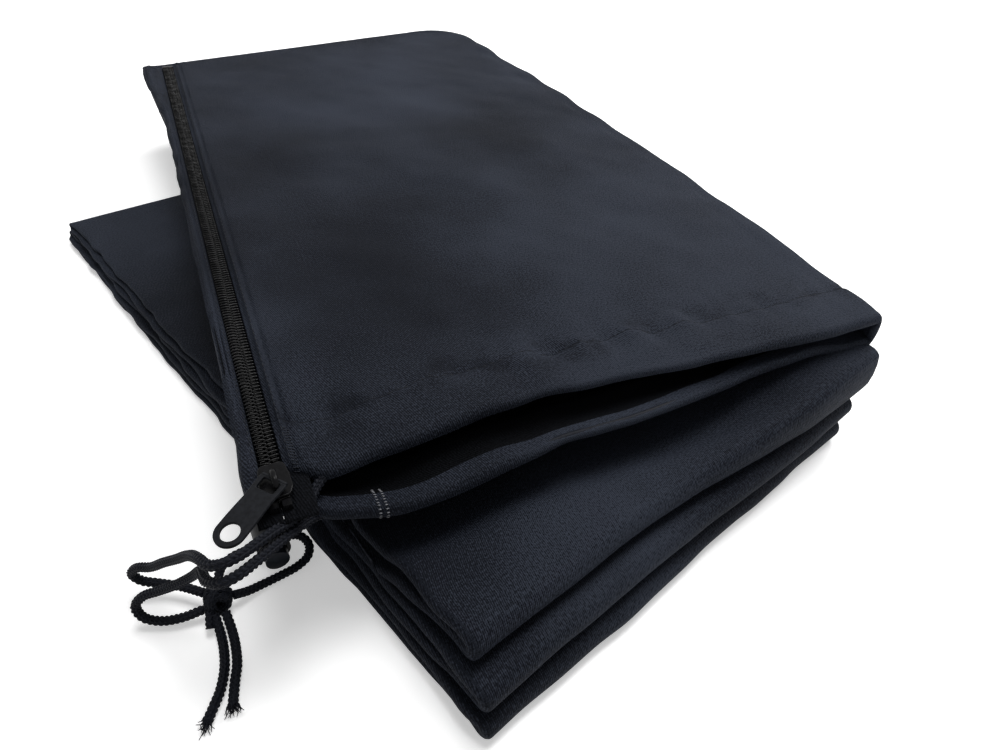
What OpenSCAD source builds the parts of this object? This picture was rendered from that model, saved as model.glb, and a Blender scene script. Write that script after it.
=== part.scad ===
// Long drawcord bag of thin woven cloth, folded flat in leaves.
// Millimetres, +Z up. Modules draw in the bag frame: the zip runs along +Y at x = 0, the
// mouth is at the low-y end, and the floor is z = 0. placed() moves that to the part's
// origin, the middle of the underside of the cloth.

/* [Top leaf] */
// Width of the top leaf at the mouth, from the zip's centre to the right edge
mouth_w = 237; // [180:1:300]
// Width of the top leaf at its rear fold, from the zip's centre
rear_w = 222; // [170:1:300]
// Length of the top leaf along the zip side
zip_side_l = 388; // [300:1:480]
// Angle by which the rear fold runs askew
rear_skew = 12.5; // [0:0.5:16]
// Radius of the rounded rear corner
rear_corner_r = 30; // [10:1:50]
// Width of cloth left of the zip's centre
left_margin = 8; // [7:0.5:12]
// Height of the top leaf's upper face
top_z = 55.6; // [48:0.1:70]
// Height of the back panel's upper face, inside the bag
floor_ply_z = 45.8; // [40:0.1:47]
// Thickness of one ply of cloth with its turned edges
ply_t = 1.2; // [0.8:0.1:2]

/* [Mouth hem] */
// Depth of the drawcord casing
casing_d = 22; // [15:1:30]
// Height of the casing where the cord fills it
casing_h = 4.6; // [4.4:0.1:4.6]
// Wall of the casing
casing_wall = 0.6; // [0.4:0.05:0.65]
// Place of the front hem's edge
hem_y = 4; // [2:0.5:8]
// Left end of both casings
hem_left_x = 14; // [12:0.5:18]
// Angle by which the back hem runs askew
back_hem_turn = 1.5; // [0:0.25:2]

/* [Folded leaves] */
// Width of the folded leaves along their front edge
fold_w = 206; // [150:1:260]
// Depth of the folded leaves
fold_l = 355; // [280:1:420]
// Turn of the folded leaves under the top leaf
fold_turn = 18; // [0:0.5:24]
// Height of one front fold
fold_h_front = 11; // [8:0.1:11.2]
// Height of one fold at the rear
fold_h_rear = 4.3; // [3:0.1:8]
// Slit between the two leaves of one fold
fold_slit = 0.8; // [0.4:0.1:1.4]
// How far each front fold stands back, from the bottom one up
fold_setback = [0, 2, 11];
// How far each fold is narrower than the bottom one
fold_narrow = [0, 4, 8];

/* [Zip] */
// Half width of the zip tape
tape_half_w = 9.5; // [7.5:0.5:9.5]
// Thickness of the tape
tape_t = 0.8; // [0.5:0.1:1]
// Width of one coil
coil_w = 2.45; // [2:0.05:2.7]
// Height of the coil
coil_h = 2.2; // [1.8:0.1:2.6]
// Gap between the two coils for the slider's post
coil_gap = 1.1; // [0.9:0.1:1.6]
// Length of the slider
slider_l = 13; // [11:0.5:16]
// Thickness of the slider's upper and lower wings
wing_t = 0.9; // [0.7:0.1:1.3]

/* [Pull tab] */
// Length of the pull tab from its bar to its round end
tab_l = 22.5; // [18:0.5:23]
// Width of the pull tab
tab_w = 8.8; // [8.6:0.1:10]
// Thickness of the pull tab
tab_t = 1.1; // [0.8:0.1:1.2]
// Radius of the round window near the tab's end
tab_window_r = 3; // [2:0.1:3.2]
// Angle at which the tab points away from the zip
tab_yaw = 50; // [45:1:50]
// Angle at which the tab hangs down
tab_pitch = 10; // [6:1:10]

/* [Drawcord] */
// Diameter of the braided cord
cord_d = 3; // [2.5:0.1:3.2]
// Diameter of the cord lock's barrel
lock_d = 11; // [10:0.5:12]
// Length of the cord lock's barrel
lock_l = 15; // [14:0.5:20]
// Diameter of the push button
button_d = 8; // [7:0.1:8.2]
// How far the button stands out of the barrel
button_out = 4.4; // [3.4:0.2:6]
// Travel of the push button
button_travel = 3; // [2:0.5:3.2]

/* [Hidden] */
$fn = 32;

gap = 0.2;                    // air between cloth faces that lie on each other
cloth = [0.10, 0.11, 0.15];
cloth_dark = [0.07, 0.08, 0.11];
black = [0.04, 0.04, 0.05];
metal_black = [0.09, 0.09, 0.10];

rear_turn_r = 7.8;            // outer radius of the turn from the top leaf into the second

// Outline of the top leaf: straight zip side, askew rear fold, one round corner
function rear_y(x) = zip_side_l + tan(rear_skew) * (x + left_margin);
function right_x(y) = mouth_w + (rear_w - mouth_w) * y / zip_side_l;
// The round corner touches the rear fold line and the right edge
right_lean = atan((mouth_w - rear_w) / zip_side_l);
corner_x = rear_w - rear_corner_r - 1;
corner_y = rear_y(corner_x) - rear_corner_r / cos(rear_skew);
corner_arc = [for (a = [0 : 15 : 75]) [corner_x, corner_y]
              + rear_corner_r * [cos(a + right_lean), sin(a + right_lean)]];
corner_end = [corner_x, corner_y] + rear_corner_r * [-sin(rear_skew), cos(rear_skew)];

// Folded leaves: their own frame has its front-left corner here
fold_corner = [38, -62];
function fold_to_bag(p) = fold_corner
    + [p[0] * cos(fold_turn) - p[1] * sin(fold_turn), p[0] * sin(fold_turn) + p[1] * cos(fold_turn)];
fold_corners = [for (p = [[0, 0], [fold_w, 0], [fold_w, fold_l], [0, fold_l]]) fold_to_bag(p)];

// The part's origin is the middle of the box round all the cloth
box_points = concat(fold_corners, corner_arc, [[mouth_w, 0],
    corner_end + rear_turn_r * [-sin(rear_skew), cos(rear_skew)]]);
box_xs = [for (p = box_points) p[0]];
box_ys = [for (p = box_points) p[1]];
origin = [(min(box_xs) + max(box_xs)) / 2, (min(box_ys) + max(box_ys)) / 2, 0];

module placed() {
    translate(-origin) children();
}

// ---- top leaf ----
front_panel_x = 7;
casing_rear_y = hem_y + casing_d;
side_turn_r = (top_z - floor_ply_z) / 2;
side_turn_tube_r = casing_h / 2;
hem_right_x = mouth_w - side_turn_r - side_turn_tube_r;
function back_hem_y(x) = hem_y - (hem_right_x - x) * tan(back_hem_turn);

module top_leaf_outline(x0, front_left_y, front_right_y) {
    polygon(concat([[x0, front_left_y], [right_x(front_right_y), front_right_y]],
                   corner_arc, [corner_end, [x0, rear_y(x0)]]));
}

module front_panel() {
    color(cloth) placed() translate([0, 0, top_z - ply_t]) linear_extrude(ply_t)
        top_leaf_outline(front_panel_x, casing_rear_y, casing_rear_y);
}

// The back panel's left edge turns up past the zip and over its tape
module back_panel() {
    wall_h = top_z - gap - floor_ply_z;
    flange_w = 2.8;
    wall_y = back_hem_y(0) + casing_d;
    wall_l = rear_y(-left_margin) - wall_y;
    color(cloth) placed() union() {
        translate([0, 0, floor_ply_z - ply_t]) linear_extrude(ply_t)
            top_leaf_outline(-left_margin, back_hem_y(-left_margin) + casing_d,
                             back_hem_y(mouth_w) + casing_d);
        translate([-left_margin, wall_y, floor_ply_z]) cube([1, wall_l, wall_h]);
        translate([-left_margin, wall_y, top_z - gap - 1]) cube([flange_w, wall_l, 1]);
    }
}

// A flattened sleeve with a slot for the cord near its folded edge
module casing(length) {
    rotate([90, 0, 90]) linear_extrude(length) difference() {
        union() {
            translate([casing_h / 2, 0]) circle(d = casing_h);
            translate([casing_h / 2, -casing_h / 2]) square([casing_d - casing_h / 2, casing_h]);
        }
        casing_slot();
    }
}

module casing_slot() {
    slot_h = casing_h - 2 * casing_wall;
    translate([casing_h / 2, 0]) circle(d = slot_h);
    translate([casing_h / 2, -slot_h / 2]) square([casing_d - casing_h, slot_h]);
}

module front_hem_casing() {
    color(cloth) placed() translate([hem_left_x, hem_y, top_z - casing_h / 2])
        casing(hem_right_x - hem_left_x);
}

module back_hem_casing() {
    color(cloth) placed() translate([hem_right_x, hem_y, floor_ply_z - casing_h / 2])
        rotate([0, 0, back_hem_turn]) translate([hem_left_x - hem_right_x, 0, 0])
            casing(hem_right_x - hem_left_x);
}

// The casing wraps round the right-hand end of the mouth
module hem_side_turn() {
    color(cloth) placed()
        translate([hem_right_x, hem_y + casing_h / 2, (top_z + floor_ply_z - casing_h) / 2])
            rotate([90, 0, 0]) intersection() {
                rotate_extrude() translate([side_turn_r, 0]) difference() {
                    circle(r = side_turn_tube_r);
                    circle(r = side_turn_tube_r - casing_wall);
                }
                translate([0, -50, -50]) cube([100, 100, 100]);
            }
}

// Seam allowances standing between the two panels along the right edge
module side_seam() {
    z0 = floor_ply_z;
    y1 = corner_arc[0][1];
    color(cloth_dark) placed() translate([0, 0, z0]) linear_extrude(top_z - ply_t - z0)
        polygon([[right_x(casing_rear_y) - ply_t, casing_rear_y], [right_x(casing_rear_y), casing_rear_y],
                 corner_arc[0], corner_arc[0] - [ply_t, 0]]);
}

// Half-round turn of the cloth from the top leaf into the second leaf
rear_turn_l = norm(corner_end - [-left_margin, rear_y(-left_margin)]);
module rear_fold() {
    color(cloth) placed() translate([-left_margin, rear_y(-left_margin), top_z - rear_turn_r])
        rotate([0, 0, rear_skew]) rotate([90, 0, 90]) linear_extrude(rear_turn_l) intersection() {
            difference() {
                circle(r = rear_turn_r);
                circle(r = rear_turn_r - ply_t);
            }
            translate([0, -20]) square([20, 40]);
        }
}

// ---- folded leaves ----
function fold_h(v) = fold_h_front + (fold_h_rear - fold_h_front) * v / fold_l;
function fold_z(k, v) = k * (fold_h(v) + gap / 2);
second_leaf_t = 4;
leaf_rear_z = top_z - 2 * rear_turn_r;

// A bar along the top of the upper fold and one under the rear fold, with cloth between.
// Its left edge follows the folded leaves until it passes under the zip.
module second_leaf() {
    front_z = fold_z(2, 20) + fold_h(20) / 2 + fold_slit / 2 + 0.5;
    front_t = fold_h(20) / 2 - 1;
    bar_v = fold_setback[2] + 16;
    left_v = (fold_corner[0] - 4) / sin(fold_turn);
    left_z = front_z + (leaf_rear_z - front_z) * left_v / zip_side_l;
    color(cloth) placed() hull() {
        translate([fold_corner[0], fold_corner[1], front_z]) rotate([0, 0, fold_turn])
            translate([fold_narrow[2] / 2, bar_v, 0]) cube([fold_w - fold_narrow[2] - 4, 1, front_t]);
        translate([fold_corner[0], fold_corner[1], left_z]) rotate([0, 0, fold_turn])
            translate([fold_narrow[2] / 2, left_v, 0]) cube([1, 1, front_t - 1]);
        translate([-left_margin, rear_y(-left_margin), leaf_rear_z]) rotate([0, 0, rear_skew])
            translate([0, -1, 0]) cube([rear_turn_l - 2, 1, second_leaf_t]);
    }
}

// Two leaves joined by a round front edge, in profile: x runs rearwards
module fold_profile(k) {
    nose_v = fold_setback[k] + fold_h_front / 2;
    nose_h = fold_h(nose_v);
    nose_z = fold_z(k, nose_v) + nose_h / 2;
    difference() {
        union() {
            translate([nose_v, nose_z]) circle(d = nose_h);
            polygon([[nose_v, fold_z(k, nose_v)], [fold_l, fold_z(k, fold_l)],
                     [fold_l, fold_z(k, fold_l) + fold_h_rear], [nose_v, fold_z(k, nose_v) + nose_h]]);
        }
        polygon([[nose_v, nose_z - fold_slit / 2],
                 [fold_l + 1, fold_z(k, fold_l) + fold_h_rear / 2 - fold_slit / 2],
                 [fold_l + 1, fold_z(k, fold_l) + fold_h_rear / 2 + fold_slit / 2],
                 [nose_v, nose_z + fold_slit / 2]]);
    }
}

module folded_leaves(k) {
    translate([fold_corner[0], fold_corner[1], 0]) rotate([0, 0, fold_turn])
        translate([fold_narrow[k] / 2, 0, 0]) rotate([90, 0, 90])
            linear_extrude(fold_w - fold_narrow[k]) children();
}

module bottom_fold() {
    color(cloth) placed() folded_leaves(0) fold_profile(0);
}

module middle_fold() {
    color(cloth) placed() folded_leaves(1) fold_profile(1);
}

// Only the lower leaf runs back from this fold: the second leaf rises from it
module upper_fold() {
    cut_v = fold_setback[2] + 15;
    color(cloth) placed() folded_leaves(2) difference() {
        fold_profile(2);
        polygon([[cut_v, fold_z(2, cut_v) + fold_h(cut_v) / 2],
                 [fold_l + 1, fold_z(2, fold_l) + fold_h_rear / 2],
                 [fold_l + 1, 60], [cut_v, 60]]);
    }
}

// Closed end of the bag: a stitched strip along the rear of the lowest leaf
module end_seam() {
    seam_t = 1.6;
    color(cloth_dark) placed() translate([fold_corner[0], fold_corner[1], 0])
        rotate([0, 0, fold_turn]) translate([6, fold_l, 0])
            cube([fold_w - 12, seam_t, fold_h_rear / 2 - fold_slit]);
}

// Dense stitch bars at the ends of the casing
module bartacks() {
    bar = [2, 9, 0.4];
    lip_x = 29;
    color(black) placed() {
        translate([lip_x, back_hem_y(lip_x) + 3, floor_ply_z]) cube(bar);
        translate([hem_left_x + 1, hem_y + 3, top_z]) cube(bar);
    }
}

// ---- zip ----
tape_z = top_z - ply_t - gap - tape_t;
tape_top = tape_z + tape_t;
tape_front_y = -4.6;
tape_inner_x = coil_gap / 2 + 0.4;
zip_rear_y = zip_side_l - 4;
coil_inner_x = coil_gap / 2;
coil_outer_x = coil_inner_x + coil_w;
stop_l = 2.4;
slider_front_y = -1.5;
stop_y = slider_front_y - 0.3 - stop_l;
bottom_stop_y = zip_rear_y - stop_l;

module zip_tape(width) {
    translate([tape_inner_x, tape_front_y, tape_z])
        cube([width - tape_inner_x, zip_rear_y - tape_front_y, tape_t]);
}

module zip_tape_right() {
    color(cloth_dark) placed() zip_tape(tape_half_w);
}

module zip_tape_left() {
    color(cloth_dark) placed() mirror([1, 0, 0]) zip_tape(left_margin - 1);
}

// Outer shape of one coil, a rounded bar on its tape
module coil_bar() {
    coil_l = bottom_stop_y - slider_front_y;
    translate([coil_inner_x, slider_front_y, tape_top]) rotate([90, 0, 0]) mirror([0, 0, 1])
        linear_extrude(coil_l) union() {
            square([coil_w, coil_h / 2]);
            translate([coil_h / 2, coil_h / 2]) circle(d = coil_h);
            translate([coil_w - coil_h / 2, coil_h / 2]) circle(d = coil_h);
        }
}

module zip_coil_right() {
    color(black) placed() coil_bar();
}

module zip_coil_left() {
    color(black) placed() mirror([1, 0, 0]) coil_bar();
}

// One clamp on each tape at the mouth
module zip_top_stops() {
    color(black) placed() for (side = [0, 1]) mirror([side, 0, 0])
        translate([coil_inner_x, stop_y, tape_top]) cube([coil_w, stop_l, coil_h]);
}

module zip_bottom_stop() {
    color(black) placed() translate([-coil_outer_x, bottom_stop_y, tape_top])
        cube([2 * coil_outer_x, stop_l, coil_h]);
}

// ---- slider: two wings, a post between the coils and a bridge for the tab ----
run = 0.3;                    // running clearance round coils and tape
slider_half_w = coil_outer_x + run + 1.2;
lower_wing_top = tape_z - run;
upper_wing_z = tape_top + coil_h + run;
upper_wing_top = upper_wing_z + wing_t;
bar_y = slider_front_y + 4.7;
bar_d = 1.3;
bar_z = upper_wing_top + 2;
bridge_half_w = 0.9;
bridge_leg = 0.8;
bridge_window = 4.6;
bridge_window_h = 3.3;
bridge_t = 1.1;

module wing(z, t) {
    shoulder = 2.6;
    narrow = 0.9;
    y0 = slider_front_y;
    translate([0, 0, z]) linear_extrude(t) polygon([
        [-slider_half_w + narrow, y0], [slider_half_w - narrow, y0],
        [slider_half_w, y0 + shoulder], [slider_half_w, y0 + slider_l - shoulder],
        [slider_half_w - narrow, y0 + slider_l], [-slider_half_w + narrow, y0 + slider_l],
        [-slider_half_w, y0 + slider_l - shoulder], [-slider_half_w, y0 + shoulder]]);
}

module slider_body() {
    flange_w = 1.2;
    flange_y = slider_front_y + 2.6;
    flange_l = slider_l - 5.2;
    flange_h = upper_wing_z - tape_top - run;
    post_w = coil_gap - 2 * 0.25;
    bridge_y = bar_y - bridge_window / 2 - bridge_leg;
    bridge_l = bridge_window + 2 * bridge_leg;
    color(metal_black) placed() union() {
        wing(lower_wing_top - wing_t, wing_t);
        wing(upper_wing_z, wing_t);
        translate([-post_w / 2, slider_front_y + 1, lower_wing_top])
            cube([post_w, 4, upper_wing_z - lower_wing_top]);
        for (side = [-1, 1]) translate([side * (slider_half_w - flange_w / 2), flange_y, 0])
            translate([-flange_w / 2, 0, tape_top + run]) cube([flange_w, flange_l, flange_h]);
        translate([-bridge_half_w, bridge_y, upper_wing_top]) difference() {
            cube([2 * bridge_half_w, bridge_l, bridge_window_h + bridge_t]);
            translate([-1, bridge_leg, -1])
                cube([2 * bridge_half_w + 2, bridge_window, bridge_window_h + 1]);
        }
    }
}

// The tab's eye is a frame whose end bar runs through the slider's bridge
module pull_tab() {
    rail = 1.1;
    eye_l = 4.4;
    end_r = tab_w / 2;
    color(black) placed() translate([0, bar_y, bar_z]) rotate([0, 0, 270 - tab_yaw])
        rotate([0, tab_pitch, 0]) union() {
            translate([0, 0, -tab_t / 2]) linear_extrude(tab_t) difference() {
                union() {
                    translate([0, -end_r]) square([tab_l - end_r, tab_w]);
                    translate([tab_l - end_r, 0]) circle(r = end_r);
                }
                translate([-1, -end_r + rail]) square([eye_l + 1, tab_w - 2 * rail]);
                translate([tab_l - end_r, 0]) circle(r = tab_window_r);
            }
            translate([0, tab_w / 2, 0]) rotate([90, 0, 0]) cylinder(h = tab_w, d = bar_d);
        }
}

// ---- drawcord ----
// A tube of 8 sides swept along a smooth curve through the points
function spline_point(p, i, t) = let (n = len(p) - 1, a = p[max(i - 1, 0)], b = p[i],
        c = p[min(i + 1, n)], d = p[min(i + 2, n)])
    0.5 * (2 * b + (c - a) * t + (2 * a - 5 * b + 4 * c - d) * t * t
           + (3 * b - a - 3 * c + d) * t * t * t);
function unit(v) = v / norm(v);

module tube(points, diameter, steps = 1) {
    n = len(points) - 1;
    path = concat([for (i = [0 : n - 1]) for (s = [0 : steps - 1]) spline_point(points, i, s / steps)],
                  [points[n]]);
    m = len(path);
    sides = 8;
    rings = [for (i = [0 : m - 1]) let (
            along = unit(path[min(i + 1, m - 1)] - path[max(i - 1, 0)]),
            across = unit(abs(along[2]) > 0.9 ? cross(along, [0, 1, 0]) : cross(along, [0, 0, 1])),
            over = cross(across, along))
        for (j = [0 : sides - 1]) path[i]
            + diameter / 2 * (cos(360 * j / sides) * across + sin(360 * j / sides) * over)];
    walls = [for (i = [0 : m - 2]) for (j = [0 : sides - 1]) let (k = (j + 1) % sides)
        for (half = [[[0, j], [0, k], [1, k]], [[0, j], [1, k], [1, j]]])
            [for (c = half) (i + c[0]) * sides + c[1]]];
    caps = [[for (j = [sides - 1 : -1 : 0]) j], [for (j = [0 : sides - 1]) (m - 1) * sides + j]];
    polyhedron(rings, concat(walls, caps), convexity = 10);
}

// The cord lies against the folded edge inside both casings
cord_in = hem_y + casing_h / 2;
front_cord_z = top_z - casing_h / 2;
back_cord_z = floor_ply_z - casing_h / 2;

module drawcord_in_hem() {
    turn = [for (a = [90 : -30 : -90]) [hem_right_x + side_turn_r * cos(a), cord_in,
            (front_cord_z + back_cord_z) / 2 + side_turn_r * sin(a)]];
    points = concat([[hem_left_x, cord_in, front_cord_z], [hem_left_x + 60, cord_in, front_cord_z],
                     [hem_right_x - 60, cord_in, front_cord_z]], turn,
                    [[hem_right_x - 60, cord_in - 60 * tan(back_hem_turn), back_cord_z],
                     [hem_left_x + 60, cord_in - (hem_right_x - hem_left_x - 60) * tan(back_hem_turn),
                      back_cord_z],
                     [hem_left_x, cord_in - (hem_right_x - hem_left_x) * tan(back_hem_turn),
                      back_cord_z]]);
    color(black) placed() tube(points, cord_d - 0.2);
}

// Routes of the free cord, chosen by hand: two bow loops, the lock's loop and two tails
zip_side_route = [[14, 6.3, 53.3], [10.5, 3.2, 52], [7.2, -1.2, 51.5], [2, -5.4, 51.5],
    [-3.5, -8.6, 52.6], [-8.2, -12, 53.8], [-12.8, -14.9, 54.6], [-17.2, -15.6, 54.4],
    [-20.6, -13.2, 52.6], [-23, -7.5, 49.5], [-26, 0, 42.5], [-30.4, 7, 34], [-35, 12.5, 27.5],
    [-39.5, 18, 20.5], [-44, 22.6, 16.5], [-46.8, 25, 11.8], [-45, 24.6, 7.5], [-40, 22.3, 6.4],
    [-34, 18.8, 6.3], [-27.5, 13.5, 6.5]];
front_route = [[14, 0.6, 43.5], [8.5, -1.6, 45.6], [2.5, -6.4, 48.4], [-4, -11.2, 49.8],
    [-9, -15, 50.8], [-14, -17.8, 51], [-18.5, -17.6, 49.6], [-21.8, -13.6, 46.6],
    [-23, -8.4, 43], [-24, -3, 38.5], [-27.2, 1.4, 31.5], [-32.7, 5.7, 24.5], [-38.2, 10, 18.6],
    [-43.4, 13.2, 14.2], [-46.8, 14, 9.4], [-45.6, 12.4, 5], [-41, 10.6, 3], [-35, 9.4, 3.2],
    [-28.6, 8.8, 4.8]];
lock_route = [[-22.5, 14.6, 6.4], [-22.6, 18.6, 6.2], [-20.6, 22.8, 6], [-16.5, 25.4, 5.8],
    [-10.5, 26.1, 5.8], [-4.5, 26.5, 5.8], [1.5, 26.9, 5.8], [5.2, 25.6, 5.3], [7, 22, 4.2],
    [5.6, 18.3, 3], [1.5, 16.2, 2.1], [-4, 15, 1.7], [-10, 13.6, 1.9], [-15, 11.9, 3],
    [-19.2, 10.4, 5.2]];
tail_left_route = [[-25.6, 5.6, 4.8], [-25, 0.5, 2.4], [-24.8, -5, 1.7], [-25.4, -11.5, 1.7],
    [-27.2, -17.5, 1.7], [-29.6, -22, 1.7], [-32, -26, 1.7]];
tail_right_route = [[-22.4, 5.4, 4.8], [-21.7, 0.5, 2.4], [-21.4, -5, 1.7], [-21.8, -11.5, 1.7],
    [-23.2, -17, 1.7], [-24.8, -24.3, 1.7]];
knot_at = [-24, 10, 6.4];

module cord_loop_zip_side() {
    color(black) placed() tube(zip_side_route, cord_d);
}

module cord_loop_front() {
    color(black) placed() tube(front_route, cord_d);
}

module cord_loop_lock() {
    color(black) placed() tube(lock_route, cord_d);
}

module cord_tail_left() {
    color(black) placed() tube(tail_left_route, cord_d);
}

module cord_tail_right() {
    color(black) placed() tube(tail_right_route, cord_d);
}

// The bow's knot, where all the strands meet
module cord_knot() {
    knot_r = 5.6;
    color(black) placed() translate(knot_at) sphere(r = knot_r);
}

// ---- cord lock ----
// The barrel lies across the cord, with its button towards the mouth side
lock_at = [-4.5, 26.5, 5.8];
lock_turn = 4;                // direction of the cord through the lock
lock_wall = 1;
bore_d = button_d + 0.6;
cross_hole_d = cord_d + 1;
hole_to_mouth = cross_hole_d / 2 + 2.2;          // from the cord to the barrel's open end
barrel_rear = hole_to_mouth - lock_l;
button_tip = hole_to_mouth + button_out;
button_root = -cross_hole_d / 2 - 2.4;

module in_lock() {
    placed() translate(lock_at) rotate([0, 0, lock_turn]) rotate([90, 0, 0]) children();
}

module lock_barrel() {
    color(metal_black) in_lock() difference() {
        translate([0, 0, barrel_rear]) cylinder(h = lock_l, d = lock_d);
        translate([0, 0, barrel_rear + lock_wall]) cylinder(h = lock_l, d = bore_d);
        rotate([0, 90, 0]) cylinder(h = lock_d + 2, d = cross_hole_d, center = true);
    }
}

// Its cross hole is a slot, so that the cord stays free over the whole travel
module lock_button() {
    color(cloth) in_lock() difference() {
        translate([0, 0, button_root]) cylinder(h = button_tip - button_root, d = button_d);
        for (z = [0, button_travel]) translate([0, 0, z])
            rotate([0, 90, 0]) cylinder(h = button_d + 2, d = cross_hole_d, center = true);
        translate([0, 0, button_travel / 2])
            cube([button_d + 2, cross_hole_d, button_travel], center = true);
    }
}

// Outer shape of the coil spring behind the button
module lock_spring() {
    spring_d = button_d - 1.4;
    spring_z = barrel_rear + lock_wall;
    spring_l = button_root - spring_z;
    color(metal_black) in_lock() translate([0, 0, spring_z]) difference() {
        cylinder(h = spring_l, d = spring_d);
        translate([0, 0, -1]) cylinder(h = spring_l + 2, d = spring_d - 2);
    }
}

front_panel();
back_panel();
front_hem_casing();
back_hem_casing();
hem_side_turn();
side_seam();
rear_fold();
second_leaf();
upper_fold();
middle_fold();
bottom_fold();
end_seam();
bartacks();
zip_tape_left();
zip_tape_right();
zip_coil_left();
zip_coil_right();
zip_top_stops();
zip_bottom_stop();
slider_body();
pull_tab();
drawcord_in_hem();
cord_loop_zip_side();
cord_loop_front();
cord_loop_lock();
cord_tail_left();
cord_tail_right();
cord_knot();
lock_barrel();
lock_button();
lock_spring();
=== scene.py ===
import math

import bpy
import numpy as np
from mathutils import Matrix, Vector


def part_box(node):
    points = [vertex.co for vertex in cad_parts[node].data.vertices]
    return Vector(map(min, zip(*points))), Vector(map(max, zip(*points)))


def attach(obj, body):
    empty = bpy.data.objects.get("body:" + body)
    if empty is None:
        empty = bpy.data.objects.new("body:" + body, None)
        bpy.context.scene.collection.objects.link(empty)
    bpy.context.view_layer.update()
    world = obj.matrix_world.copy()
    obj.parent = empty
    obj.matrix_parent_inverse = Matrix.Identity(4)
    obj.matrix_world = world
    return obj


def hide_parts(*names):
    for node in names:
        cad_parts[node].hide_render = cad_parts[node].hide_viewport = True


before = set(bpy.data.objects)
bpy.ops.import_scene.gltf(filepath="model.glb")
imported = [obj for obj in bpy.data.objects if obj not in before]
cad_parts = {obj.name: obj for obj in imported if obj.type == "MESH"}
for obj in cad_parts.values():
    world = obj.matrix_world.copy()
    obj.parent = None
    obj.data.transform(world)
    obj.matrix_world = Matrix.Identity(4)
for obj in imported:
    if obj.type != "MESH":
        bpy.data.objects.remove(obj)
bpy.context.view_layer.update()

# Everything is drawn in the bag frame, in mm: the zip runs along +Y at x = 0, the mouth is
# at the low-y end and the floor is z = 0. The CAD's bars give where that frame sits.
ZIP_FRONT_Y, ZIP_END_Y = -1.5, 381.6
coil_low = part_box("zip_coil_left")[0]
coil_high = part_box("zip_coil_right")[1]
ORIGIN = np.array([(coil_low[0] + coil_high[0]) * 500, coil_low[1] * 1000 - ZIP_FRONT_Y,
                   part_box("bottom_fold")[0][2] * 1000])


def at(points):
    """Bag frame in mm to the part's frame in metres."""
    return (np.asarray(points, dtype=float) + ORIGIN) / 1000


# ---------------------------------------------------------------- camera
CAMERA_AT = [-4.02, -140.12, 210]
CAMERA_TURN = (26.08, 39.6, 4.0)       # yaw, pitch and roll in degrees
SENSOR_W, LENS = 36, 25.92


def place_camera():
    yaw, pitch, roll = (math.radians(a) for a in CAMERA_TURN)
    ahead = Vector((math.sin(yaw) * math.cos(pitch), math.cos(yaw) * math.cos(pitch),
                    -math.sin(pitch)))
    side = Vector((math.cos(yaw), -math.sin(yaw), 0))
    up = side.cross(ahead)
    right = side * math.cos(roll) + up * math.sin(roll)
    top = up * math.cos(roll) - side * math.sin(roll)
    cam = bpy.data.objects.new("camera", bpy.data.cameras.new("camera"))
    bpy.context.collection.objects.link(cam)
    cam.data.sensor_width = SENSOR_W
    cam.data.lens = LENS
    cam.data.clip_start = 0.01
    matrix = Matrix((right, top, -ahead)).transposed().to_4x4()
    matrix.translation = Vector(at(CAMERA_AT))
    cam.matrix_world = matrix
    bpy.context.scene.camera = cam


place_camera()


# ---------------------------------------------------------------- small helpers
def unit(v):
    v = np.asarray(v, dtype=float)
    return v / np.maximum(np.linalg.norm(v, axis=-1, keepdims=True), 1e-9)


def smooth(t):
    t = np.clip(t, 0, 1)
    return t * t * (3 - 2 * t)


def lattice(i, j, seed):
    """A steady random number from -1 to 1 at each lattice point."""
    h = (i * 374761393 + j * 668265263 + seed * 1274126177) & 0xFFFFFFFF
    h = ((h ^ (h >> 13)) * 1274126177) & 0xFFFFFFFF
    return ((h ^ (h >> 16)) & 0xFFFF) / 32767.5 - 1


def noise2(u, v, seed=0):
    """Smooth noise over two coordinates, from -1 to 1."""
    u, v = np.broadcast_arrays(np.asarray(u, dtype=float), np.asarray(v, dtype=float))
    i, j = np.floor(u).astype(np.int64), np.floor(v).astype(np.int64)
    a, b = smooth(u - i), smooth(v - j)
    rows = [lattice(i + p, j + q, seed) for p in (0, 1) for q in (0, 1)]
    return (rows[0] * (1 - a) * (1 - b) + rows[1] * (1 - a) * b
            + rows[2] * a * (1 - b) + rows[3] * a * b)


def bump(x, centre, width):
    return np.exp(-((np.asarray(x, dtype=float) - centre) / width) ** 2)


def spline(points, step):
    """A smooth curve through the points, with its points about step apart."""
    p = np.asarray(points, dtype=float)
    ends = np.vstack([2 * p[0] - p[1], p, 2 * p[-1] - p[-2]])
    out = []
    for i in range(1, len(ends) - 2):
        a, b, c, d = ends[i - 1:i + 3]
        n = max(2, int(np.linalg.norm(c - b) / step) + 1)
        for t in np.arange(n) / n:
            out.append(0.5 * (2 * b + (c - a) * t + (2 * a - 5 * b + 4 * c - d) * t * t
                              + (3 * b - a - 3 * c + d) * t ** 3))
    out.append(p[-1])
    return even(np.array(out), step)


def even(line, step):
    gone = np.r_[0, np.cumsum(np.linalg.norm(np.diff(line, axis=0), axis=1))]
    n = max(2, int(round(gone[-1] / step)) + 1)
    want = np.linspace(0, gone[-1], n)
    return np.stack([np.interp(want, gone, line[:, k]) for k in range(line.shape[1])], axis=1)


def length_of(line):
    return float(np.linalg.norm(np.diff(np.asarray(line, dtype=float), axis=0), axis=1).sum())


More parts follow.
